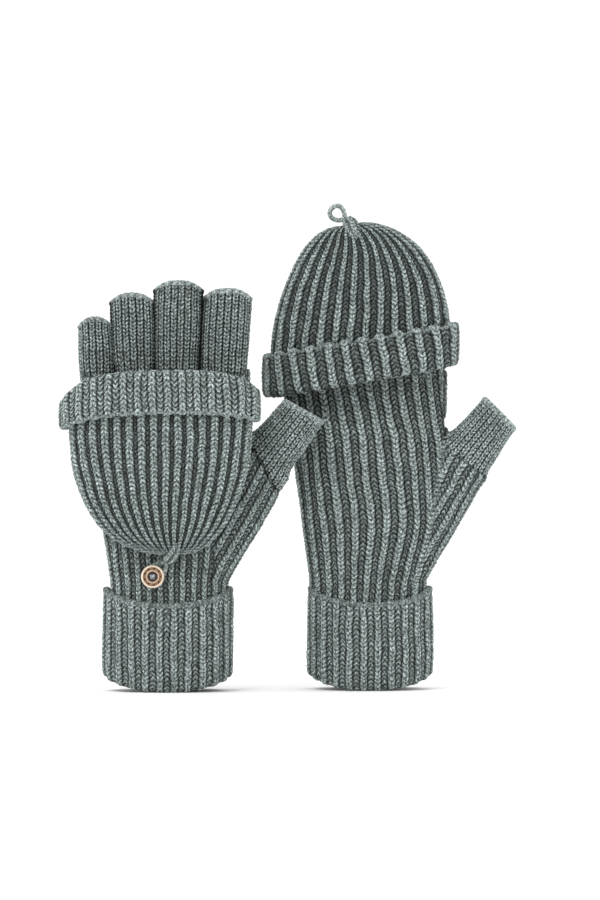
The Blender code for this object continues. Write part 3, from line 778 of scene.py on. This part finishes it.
def add_finger(mitten, name, knit):
    root_u, root_half, end_u, end_half, end_w, curl, wales = finger_sizes(mitten, name)
    length = end_w - FINGER_FOOT
    (inset, s), rim_from, rim_to = finger_profile(length)
    share = np.clip((s - 6.5) / (length - 6.5), 0.0, 1.0)
    angle, _ = even_angles(root_half, FINGER_HALF_DEPTH, FINGER_POWER, 150)
    across, deep = oval(angle, FINGER_POWER)
    plump = 0.5 * np.sin(share * math.pi)
    sunk = FINGER_SUNK * (1 - smooth(2.0, 12.0, s))
    half_u = root_half + (end_half - root_half) * share - inset - sunk + plump
    half_v = FINGER_HALF_DEPTH * (1 - 0.08 * share) - inset - sunk + plump
    u = root_u + (end_u - root_u) * share + half_u * across
    v = FINGER_V + curl * share + half_v * deep
    sideways = np.abs(np.cos(angle))
    w = FINGER_FOOT + s - FINGER_DIP * sideways**2.4 * share**2
    points = joined(u, v, w)
    wale = wales * np.arange(len(angle)) / len(angle)
    height, shade = plain_skin(points, wale, s / PLAIN_ROW, mitten.seed + FINGER_SEED + 5 * wales)
    row = np.arange(len(s))[:, None]
    on_rim, hidden = (row >= rim_from) & (row < rim_to), row >= rim_to
    bead = 0.32 * np.abs(np.sin(wale * math.pi))
    height = np.where(on_rim, bead, height) * (1 - hidden)
    # painted shade: darker between the rim's beads, and darker on the inside of the finger
    shade = np.where(on_rim, 0.62 + bead, shade) * (1 - 0.6 * hidden)
    foot = smooth(14.0, 5.0, s)
    # painted shade: darker towards the foot and on the sides that face a neighbouring finger; the whole
    # finger is also kept darker
    has_neighbour = np.where(np.cos(angle) < 0, name != "little_finger", name != "index_finger")
    gap_shade = has_neighbour * smooth(0.80, 1.0, sideways)
    shade = shade * (0.86 - 0.35 * foot) * (1 - 0.75 * gap_shade)
    piece = grid_piece(mitten, f"{name}_knit", points, height, shade, knit)
    attach(mitten, piece, "mitten", name)
    if mitten.folded:
        crumple(mitten, piece, name)


def edge_droop(mitten, angle, free):
    """How far the hood's open edge, and the band on it, hang back at their two sides.

    free goes from 0 at the band's fold to 1 at its free edge, where the corners are less rounded."""
    across, _ = oval(angle, HOOD_POWER)
    sideways = np.where(np.sin(angle) > 0, 1.0, np.abs(across))
    droop = np.where(across < 0, *mitten.band_droop) * sideways**3
    rounding = np.where(across < 0, *mitten.band_rounding) * sideways**7
    return droop + rounding * (1 - free)


def sewn_share(angle):
    """1 along the back of the hood, where it is sewn to the hand, and 0 round its front and sides."""
    return smooth(0.15, 0.80, np.sin(angle))


def hood_edge(mitten, angle, u):
    """The height of the hood's open edge over the hinge: sloping at the front, straight at the back."""
    front = mitten.front_edge + mitten.edge_slope * (u - HOOD_CENTRE_U)
    return front + (0.6 - front) * sewn_share(angle)


def place_hood(mitten, points):
    """Points about the hinge, as the mitten holds its hood: over the fingers, or folded down."""
    turn = -1 if mitten.folded else 1
    placed = points.copy()
    placed[..., 1] = HINGE_V + turn * points[..., 1]
    placed[..., 2] = HINGE_W + turn * points[..., 2]
    return placed


def hood_rows(mitten, turn, rise, inset, angle):
    """Rings of the hood over its hinge, one for each turn (0 at the dome's foot, 1 at its tip) and rise."""
    turn, rise, inset = (np.asarray(x, dtype=float)[:, None] for x in (turn, rise, inset))
    cosine = np.cos(turn * math.pi / 2) ** (2 / mitten.dome_power)
    sine = np.sin(turn * math.pi / 2) ** (2 / mitten.dome_power)
    half_u, half_v = HOOD_HALF_WIDTH - inset, mitten.depth / 2 - inset
    tip_u, tip_v = mitten.tip
    sideways = mitten.dome_lean * smooth(0.0, 0.7, sine) * (1 - sine**8)
    centre_u = HOOD_CENTRE_U + sideways + (tip_u - HOOD_CENTRE_U) * sine**8
    centre_v = -inset - half_v * cosine + (tip_v + inset) * (1 - cosine)
    across, deep = oval(angle, HOOD_POWER)
    u = centre_u + half_u * cosine * across
    v = centre_v + half_v * cosine * deep
    shoulder = mitten.shoulder * smooth(0.6, 0.97, sine) * smooth(-6.0, 10.0, u - centre_u)
    dome = mitten.dome_start + (mitten.height - inset - mitten.dome_start) * sine + shoulder
    droop = edge_droop(mitten, angle, 0.0) * (1 - sewn_share(angle))
    edge = hood_edge(mitten, angle, u) + droop
    w = np.where(turn > 0, dome, edge + (mitten.dome_start - edge) * rise)
    return joined(u, v, w)


def even_turns(mitten, step):
    """Turns up the dome that are evenly spaced along its front."""
    turn = np.linspace(0.0, 1.0, 4001)
    line = hood_rows(mitten, turn, np.ones_like(turn), np.zeros_like(turn), np.array([-math.pi / 2]))[:, 0]
    length = running_length(np.linalg.norm(np.diff(line, axis=0), axis=-1))
    wanted = np.arange(step, length[-1] - 1.0, step)
    return np.interp(wanted, length, turn)


def add_hood(mitten, knit):
    """The hood: a rolled edge, the outside up to the tip, and the smooth inside back down."""
    angle, _ = even_angles(HOOD_HALF_WIDTH, mitten.depth / 2, HOOD_POWER, 460)
    fine, coarse = even_turns(mitten, FINE), even_turns(mitten, COARSE)
    below = np.linspace(0.0, 1.0, int((mitten.dome_start + 3.0) / FINE))
    rolled = np.linspace(math.pi, 0.0, 6)[:-1]
    inside = np.linspace(1.0, 0.0, 8)
    edge_rows, outer_rows = len(rolled), len(rolled) + len(below) + len(fine)
    inner_rows = len(coarse) + len(inside)
    turn = np.concatenate((np.zeros(edge_rows + len(below)), fine, coarse[::-1], np.zeros(len(inside))))
    rise = np.concatenate((np.zeros(edge_rows), below, np.ones(len(fine) + len(coarse)), inside))
    half_wall = HOOD_WALL / 2
    over_edge = half_wall - half_wall * np.cos(rolled)
    inset = np.concatenate((over_edge, np.zeros(outer_rows - edge_rows), np.full(inner_rows, HOOD_WALL)))
    points = hood_rows(mitten, turn, rise, inset, angle)
    points[:edge_rows, :, 2] -= (half_wall * np.sin(rolled))[:, None]
    wale = mitten.hood_ribs * (np.arange(len(angle)) / len(angle)) + 0.5
    row = along_profile(points) / HOOD_ROW
    height, shade = rib_skin(points, wale, row, mitten.hood_rib, mitten.seed + HOOD_SEED)
    narrow = np.cos(turn * math.pi / 2) ** (2 / mitten.dome_power)
    full = np.clip(narrow / 0.4, 0.25, 1.0)[:, None]
    full[:edge_rows] = 0.2
    seen = (np.arange(len(turn)) < outer_rows)[:, None]
    height = np.where(seen, height * full, 0.0)
    # painted shade: the hood's inside is dark
    shade = np.where(seen, 0.95 * shade, 0.25)
    piece = grid_piece(mitten, "hood_knit", place_hood(mitten, points), height, shade, knit)
    attach(mitten, piece, "hood", "hood")


def band_profile(tall):
    """(out, up) round the hem: its fold, its outer wall, its free edge and its inside."""
    half_turn, edge_turn = np.linspace(0.0, math.pi, 13), np.linspace(0.2, math.pi, 9)
    climb, down = np.linspace(0.02, 1.0, 42), np.linspace(0.0, 1.0, 8)
    profile = [(2.45 - 2.15 * math.cos(a), 2.2 - 2.9 * math.sin(a)) for a in half_turn]
    profile += [(4.6 + 0.1 * t + 0.3 * math.sin(math.pi * t), 2.2 + (tall - 3.6) * t) for t in climb]
    profile += [(3.1 + 1.6 * math.cos(a), tall - 1.4 + 1.5 * math.sin(a)) for a in edge_turn]
    profile += [(1.5 - 1.1 * t, tall - 2.6 - (tall - 6.0) * t) for t in down]
    return np.array(profile).T[:, :, None]


def add_hood_band(mitten, knit):
    """The hem, turned back: a thick round fold, a ribbed wall, and a scalloped free edge."""
    tall, half_v = mitten.band_height, mitten.depth / 2
    start, sweep = math.pi - BAND_REACH, math.pi + 2 * BAND_REACH
    angle, around = even_angles(HOOD_HALF_WIDTH, half_v, HOOD_POWER, 330, start, sweep, closed=False)
    wall_out, up = band_profile(tall)
    place = np.linspace(0.0, around, len(angle))
    near_end = np.minimum(place, around - place)
    rounded = np.sqrt(np.clip(1 - (1 - np.clip(near_end / 2.6, 0.0, 1.0)) ** 2, 0.0, 1.0))
    out = 0.5 + (wall_out - 0.5) * np.maximum(rounded, 0.06)
    across, deep = oval(angle, HOOD_POWER)
    lowest = hood_edge(mitten, 0.0 * angle, HOOD_CENTRE_U + HOOD_HALF_WIDTH * across)
    sheared = mitten.edge_slope * up * np.clip(-np.sin(angle), 0.0, 1.0)
    wale = (place + sheared) / (around / mitten.band_ribs)
    scallop = mitten.band_scallop * np.cos(wale * TAU + math.pi) * smooth(tall - 6.0, tall, up)
    squeezed = 2.0 * (1 - rounded) * (0.5 - up / tall)
    u = HOOD_CENTRE_U + (HOOD_HALF_WIDTH + out) * across
    v = -half_v + (half_v + out) * deep
    w = lowest + up + scallop + squeezed + edge_droop(mitten, angle, up / tall)
    points = joined(u, v, w)
    row = along_profile(points) / BAND_ROW
    height, shade = rib_skin(points, wale, row, mitten.band_rib, mitten.seed + BAND_SEED)
    seen = smooth(0.6, 3.0, wall_out) * (0.25 + 0.75 * smooth(-0.6, 3.5, up)) * rounded
    on_edge = smooth(tall - 2.2, tall - 0.9, up)
    bead = 0.3 * np.abs(np.sin(wale * 2 * math.pi))
    height = height * seen * (1 - 0.6 * on_edge) + on_edge * bead * rounded
    # painted shade: the free edge is paler with darker gaps between its beads, and the band's inside is dark
    shade = shade + (0.55 + bead - shade) * 0.6 * on_edge
    shade = np.where(wall_out < 0.6, 0.2, shade)
    placed = place_hood(mitten, points)
    piece = grid_piece(mitten, "hood_band_knit", placed, height, shade, knit, close_cols=False)
    attach(mitten, piece, "hood", "hood_band")


# ---- cords, tip, seam, button


def frames_along(line, closed):
    """Two unit vectors across a closed or open line at each of its points."""
    if closed:
        extended = np.concatenate((line[-2:], line, line[:2]))
        return [across[2:-2] for across in frames_along(extended, False)]
    ahead = unit(np.gradient(line, axis=0))
    first = unit(np.cross(ahead, np.array((0.0, 1.0, 0.0))))
    return [first, np.cross(ahead, first)]


def tube_points(line, radius, count, closed):
    """A tube of so many points around along a line; radius may vary along it."""
    first, second = frames_along(line, closed)
    angle = circle(count)
    radius = np.broadcast_to(np.asarray(radius, dtype=float), (len(line),))
    ring = np.cos(angle)[None, :, None] * first[:, None] + np.sin(angle)[None, :, None] * second[:, None]
    return line[:, None] + radius[:, None, None] * ring


def merge(parts):
    """One set of points, faces and shades from several grids; each part is (points, closed, shade)."""
    all_points, all_faces, all_shades = [], [], []
    offset = 0
    for points, closed, shade in parts:
        rows, cols = points.shape[:2]
        faces = grid_faces(rows, cols, closed, True)
        if outward(points - points.mean(axis=(0, 1)), faces) < 0:
            faces = faces[:, ::-1]
        all_points.append(points.reshape(-1, 3))
        all_faces.append(faces + offset)
        all_shades.append(np.broadcast_to(shade, (rows, cols)).ravel())
        offset += rows * cols
    return np.concatenate(all_points), np.concatenate(all_faces), np.concatenate(all_shades)


def twisted(line, radius, strands, turns):
    """Plies of yarn wound round a closed line."""
    first, second = frames_along(line, True)
    place = np.linspace(0.0, TAU * turns, len(line), endpoint=False)
    parts = []
    for k in range(strands):
        angle = place + TAU * k / strands
        ply = line + 0.5 * radius * (np.cos(angle)[:, None] * first + np.sin(angle)[:, None] * second)
        parts.append((tube_points(ply, 0.56 * radius, 12, True), True, 0.75))
    return parts


def tip_line(mitten):
    """Where the hood's gathered tip starts, and the unit direction in which it and its loop point."""
    turn = -1 if mitten.folded else 1
    tip_u, tip_v = mitten.tip
    start = np.array((tip_u, HINGE_V + turn * tip_v, HINGE_W + turn * (mitten.height + 0.6)))
    if mitten.folded:
        aim = np.array((BUTTON_U, SHANK_FOOT_V + 1.9, BUTTON_W)) - start
    else:
        aim = np.array(WORN_TIP_AIM)
    length = np.linalg.norm(aim)
    return start, aim / length, length


def add_tip(mitten, knit):
    """The gathered end: knitting drawn together in front of the dome's apex, narrowing into the loop."""
    start, direction, _ = tip_line(mitten)
    turn = -1 if mitten.folded else 1
    side, deep, drop = mitten.gather_foot
    foot = np.array((start[0] + side, HINGE_V + turn * deep, start[2] - turn * drop))
    bend = (foot + start) / 2 + np.array((0.0, turn * mitten.gather_belly, turn * 1.5))
    end = start + direction * (TIP_LENGTH + 1.0)
    t = np.linspace(0.0, 1.0, 90)[:, None]
    line = (1 - t) ** 3 * foot + 3 * (1 - t) ** 2 * t * bend + 3 * (1 - t) * t**2 * start + t**3 * end
    plump = np.interp(t[:, 0], (0.0, 0.04, 0.3, 0.7, 0.96, 1.0), (0.12, 0.5, 0.9, 1.0, 0.6, 0.12))
    points = tube_points(line, mitten.gather_radius * plump, 72, False)
    wale = np.linspace(0.0, 5.0, 72, endpoint=False)
    height, shade = rib_stitches(wale, t * 9.0, *TIP_RIB)
    shade = 0.2 + 0.8 * shade
    piece = grid_piece(mitten, "hood_tip_knit", points, height - 0.4, shade, knit, close_rows=False)
    attach(mitten, piece, "hood", "hood_tip")


def add_loop(mitten, yarn):
    """The loop: a flat ring of plied yarn, drawn out to reach behind the button or standing up free."""
    start, direction, length = tip_line(mitten)
    near = TIP_LENGTH + 0.4 + LOOP_CORD_RADIUS
    far = length + LOOP_PAST_SHANK if mitten.folded else near + LOOP_LENGTH
    if not mitten.folded:
        direction = unit(np.array(WORN_LOOP_AIM))
    flat = np.hypot(direction[0], direction[2])
    first = np.array((direction[2] / flat, 0.0, -direction[0] / flat))
    angle = circle(160)
    s = (near + far) / 2 - (far - near) / 2 * np.cos(angle)
    width = LOOP_HALF_WIDTH * np.sin(angle) * (0.45 + 0.55 * (1 - np.cos(angle)) / 2) ** 0.6
    line = start + direction * s[:, None] + first * width[:, None]
    points, faces, shade = merge(twisted(line, LOOP_CORD_RADIUS, 3, 9))
    piece = add_object(mitten, "button_loop_yarn", points, faces, shade, yarn)
    attach(mitten, piece, "loop", "button_loop")


def add_seam(mitten, yarn):
    """The overcast seam along the knuckles: slanting stitches laid over a thin ridge."""
    ends = np.array(((SEAM_LEFT, SEAM_V, SEAM_W), (SEAM_RIGHT, SEAM_V, SEAM_W)))
    # painted shade: the ridge under the slanting stitches is darker than the stitches
    parts = [(tube_points(np.linspace(*ends, 90), 1.1, 12, False), False, 0.35)]
    share = np.linspace(0.0, 1.0, 14)
    turn = math.pi * (1.15 * share - 0.1)
    v, w = SEAM_V + SEAM_RADIUS * np.cos(turn), SEAM_W + SEAM_RADIUS * np.sin(turn)
    radius = 0.5 * np.sqrt(np.clip(1 - (2 * share - 1) ** 8, 0.05, 1.0))
    for u in np.arange(SEAM_LEFT + 1.5, SEAM_RIGHT - 1.0, 2.6):
        line = joined(u + 2.0 * share, v, w)
        parts.append((tube_points(line, radius, 10, False), False, 0.75))
    points, faces, shade = merge(parts)
    piece = add_object(mitten, "hood_seam_yarn", points, faces, shade, yarn)
    attach(mitten, piece, "mitten", "hood_seam")


def add_button(mitten, wood):
    """A turned wooden disc: cream rim, a tan groove, a raised inner ring and a dark well."""
    front = BUTTON_THICKNESS
    profile = ((1.4, 0.0, 0.2), (3.0, 0.0, 0.4), (5.4, 0.0, 0.5), (6.0, 0.35, 0.7), (6.3, 1.0, 0.9))
    profile += ((6.35, 1.8, 1.0), (6.2, 2.5, 1.0), (5.9, 2.9, 1.0), (5.55, front, 1.0), (5.25, 2.85, 0.9))
    profile += ((5.05, 2.45, 0.25), (4.9, 2.2, 0.3), (4.5, 2.15, 0.55), (4.1, 2.2, 0.5), (3.9, 2.4, 0.25))
    profile += ((3.7, 2.8, 0.7), (3.35, front, 0.85), (3.0, 2.9, 0.75), (2.8, 2.4, 0.2), (2.6, 1.8, 0.05))
    profile += ((1.9, 1.7, 0.0), (1.4, 1.6, 0.0), (1.35, 0.9, 0.0))
    dense = np.linspace(0.0, len(profile), 6 * len(profile), endpoint=False)
    closed = np.array(profile + profile[:1])
    radius, out, shade = (np.interp(dense, np.arange(len(closed)), column) for column in closed.T)
    angle = circle(180)
    u = BUTTON_U + BUTTON_SCALE * radius[:, None] * np.cos(angle)
    v = np.broadcast_to(BUTTON_BACK_V + out[:, None], u.shape)
    points = joined(u, v, BUTTON_W + BUTTON_SCALE * radius[:, None] * np.sin(angle))
    groove = np.exp(-(((radius - 4.5) / 0.35) ** 2))[:, None] * (out > 2.0)[:, None]
    notches = groove * (np.cos(angle * 9) > 0.55)
    height = -0.25 * notches + 0.03 * wander(points, 0.9, mitten.seed)
    shades = np.clip(shade[:, None] - 0.35 * notches, 0.0, 1.0)
    piece = grid_piece(mitten, "button_wood", points, height, shades, wood)
    attach(mitten, piece, "button", "button")


def add_thread(mitten, thread):
    """The wound shank, and the crossed stitches that hold the button."""
    knot = BUTTON_BACK_V + BUTTON_THICKNESS - 1.0
    share = np.linspace(0.0, 1.0, 160)
    wound = TAU * 7 * share
    reach = 0.75 + 0.25 * np.cos(TAU * share)
    v = SHANK_FOOT_V + (BUTTON_BACK_V - SHANK_FOOT_V) * share
    line = joined(BUTTON_U + reach * np.cos(wound), v, BUTTON_W + reach * np.sin(wound))
    # painted shade: the shank under the button is darker than the stitches on its face
    parts = [(tube_points(line, 0.36, 8, False), False, 0.5)]
    for k, lean in enumerate((-0.7, -0.25, 0.25, 0.7)):
        across = math.pi * (0.25 + 0.5 * (k % 2))
        t = np.linspace(-1.0, 1.0, 24)
        u = BUTTON_U + 1.5 * t * math.cos(across) - 0.5 * lean * math.sin(across)
        w = BUTTON_W + 1.5 * t * math.sin(across) + 0.5 * lean * math.cos(across)
        v = knot + 0.25 * k * 0.5 - 1.6 * np.abs(t) ** 3
        parts.append((tube_points(joined(u, v, w), 0.42, 10, False), False, 0.9))
    points, faces, shade = merge(parts)
    piece = add_object(mitten, "button_thread_wound", points, faces, shade, thread)
    attach(mitten, piece, "mitten", "button_thread")


# ---- materials


def new_material(name, **settings):
    material = bpy.data.materials.new(name)
    material.use_nodes = True
    for key, value in settings.items():
        material.node_tree.nodes["Principled BSDF"].inputs[key.replace("_", " ")].default_value = value
    return material


def noise(tree, size_mm, detail):
    """Noise whose features are about so many millimetres, fixed to the piece."""
    place = tree.nodes.new("ShaderNodeTexCoord")
    texture = tree.nodes.new("ShaderNodeTexNoise")
    texture.inputs["Scale"].default_value = 1 / (size_mm * MM)
    texture.inputs["Detail"].default_value = detail
    tree.links.new(place.outputs["Object"], texture.inputs["Vector"])
    return texture.outputs["Fac"]


def ramp(tree, value, stops):
    made = tree.nodes.new("ShaderNodeValToRGB")
    elements = made.color_ramp.elements
    while len(elements) < len(stops):
        elements.new(0.5)
    for element, (position, colour) in zip(elements, stops):
        element.position = position
        element.color = (*colour, 1.0)
    tree.links.new(value, made.inputs["Fac"])
    return made.outputs["Color"]


def multiply(tree, share, first, second):
    made = tree.nodes.new("ShaderNodeMix")
    made.data_type = "RGBA"
    made.blend_type = "MULTIPLY"
    made.inputs["Factor"].default_value = share
    tree.links.new(first, made.inputs["A"])
    tree.links.new(second, made.inputs["B"])
    return made.outputs["Result"]


def shade_of(tree):
    attribute = tree.nodes.new("ShaderNodeAttribute")
    attribute.attribute_name = "shade"
    return attribute.outputs["Fac"]


def add_looks(tree, colour, bumps, distance_mm, strength):
    """Colour, and a fine bump, for the material's shader."""
    bump = tree.nodes.new("ShaderNodeBump")
    bump.inputs["Distance"].default_value = distance_mm * MM
    bump.inputs["Strength"].default_value = strength
    shader = tree.nodes["Principled BSDF"]
    tree.links.new(bumps, bump.inputs["Height"])
    tree.links.new(bump.outputs["Normal"], shader.inputs["Normal"])
    tree.links.new(colour, shader.inputs["Base Color"])


def greys(*stops):
    return [(place, (value,) * 3) for place, value in stops]


def wool(name, dark, light):
    """Heathered wool with paler and darker fibres mixed through it, made dark in the gaps by painted shade.
    """
    material = new_material(
        name,
        Roughness=0.92,
        Specular_IOR_Level=0.06,
        Sheen_Weight=0.04,
        Sheen_Roughness=0.5,
        Sheen_Tint=(0.9, 1.0, 0.98, 1.0),
    )
    tree = material.node_tree
    low, middle = [0.06 * a for a in light], [0.32 * a for a in light]
    # painted shade: the shade attribute runs the colour from near black in the gaps to the yarn's own colour
    # on the stitches' tops
    body = ramp(tree, shade_of(tree), ((0.0, dark), (0.2, low), (0.48, middle), (0.82, light)))
    fibres = ramp(tree, noise(tree, 0.85, 3.0), greys((0.33, 0.14), (0.5, 0.86), (0.68, 2.2)))
    cloudy = ramp(tree, noise(tree, 7.0, 2.0), greys((0.3, 0.86), (0.7, 1.12)))
    colour = multiply(tree, 1.0, multiply(tree, 0.85, body, fibres), cloudy)
    add_looks(tree, colour, noise(tree, 0.6, 2.0), 0.35, 0.6)
    return material


def turned_wood(name):
    """Satin wood, dark in the button's grooves and cream on its rim."""
    material = new_material(name, Roughness=0.42)
    tree = material.node_tree
    groove, brown = (0.02, 0.012, 0.008), (0.13, 0.07, 0.035)
    tan, cream = (0.42, 0.26, 0.15), (0.78, 0.66, 0.52)
    body = ramp(tree, shade_of(tree), ((0.0, groove), (0.3, brown), (0.6, tan), (1.0, cream)))
    grain = ramp(tree, noise(tree, 0.8, 4.0), ((0.3, (0.7, 0.62, 0.55)), (0.65, (1.0, 1.0, 1.0))))
    add_looks(tree, multiply(tree, 0.7, body, grain), noise(tree, 0.4, 2.0), 0.06, 0.4)
    return material


# ---- the mittens, light and camera


def add_mitten(mitten, knit, yarn, wood, thread):
    add_hand_and_thumb(mitten, knit)
    add_cuff(mitten, knit)
    for name in FINGERS:
        add_finger(mitten, name, knit)
    add_hood(mitten, knit)
    add_hood_band(mitten, knit)
    add_tip(mitten, knit)
    add_loop(mitten, yarn)
    add_seam(mitten, yarn)
    add_button(mitten, wood)
    add_thread(mitten, thread)


def add_floor():
    bpy.ops.mesh.primitive_circle_add(vertices=96, radius=9.0, fill_type="NGON")
    floor = bpy.context.object
    floor.name = "floor"
    floor.data.materials.append(new_material("floor", Base_Color=(0.96, 0.96, 0.96, 1.0), Roughness=0.9))
    floor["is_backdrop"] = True


def add_light(name, place, size, power):
    data = bpy.data.lights.new(name, "AREA")
    data.shape = "DISK"
    data.size = size
    data.energy = power
    light = bpy.data.objects.new(name, data)
    light.location = place
    aim = -np.array(place) + np.array((0.0, 0.0, 0.12))
    pitch = math.atan2(math.hypot(aim[0], aim[1]), -aim[2])
    light.rotation_euler = (pitch, 0.0, math.atan2(-aim[0], aim[1]))
    bpy.context.scene.collection.objects.link(light)
    light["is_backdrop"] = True


def add_surroundings():
    scene = bpy.context.scene
    world_made = bpy.data.worlds.new("studio")
    world_made.use_nodes = True
    background = world_made.node_tree.nodes["Background"]
    background.inputs["Color"].default_value = (1.0, 1.0, 1.0, 1.0)
    background.inputs["Strength"].default_value = 1.12
    scene.world = world_made
    scene.view_settings.view_transform = "Standard"
    add_light("key", (-0.9, -1.5, 1.9), 0.9, 20.0)
    add_light("left_rim", (-2.0, 0.3, 0.7), 1.0, 10.0)
    add_light("right_rim", (2.0, 0.3, 0.7), 1.0, 10.0)


def add_camera():
    data = bpy.data.cameras.new("camera")
    data.sensor_width = 36.0
    data.lens = 182.5
    data.clip_end = 100.0
    camera = bpy.data.objects.new("camera", data)
    camera.location = (0.0048, -2.41, 0.1273)
    camera.rotation_euler = (math.pi / 2, 0.0, 0.0)
    bpy.context.scene.collection.objects.link(camera)
    bpy.context.scene.camera = camera


def main():
    knit = wool("grey_knit", (0.004, 0.006, 0.006), (0.300, 0.352, 0.343))
    yarn = wool("grey_yarn", (0.01, 0.014, 0.014), (0.30, 0.35, 0.34))
    thread = wool("grey_thread", (0.05, 0.055, 0.06), (0.34, 0.36, 0.38))
    wood = turned_wood("turned_wood")
    for mitten in (LEFT, RIGHT):
        add_mitten(mitten, knit, yarn, wood, thread)
    add_floor()
    add_surroundings()
    add_camera()
    sizes = {"cad": cad_box, "scene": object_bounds()}
    {key: [list(corner) for corner in box] for key, box in sizes.items()}


main()
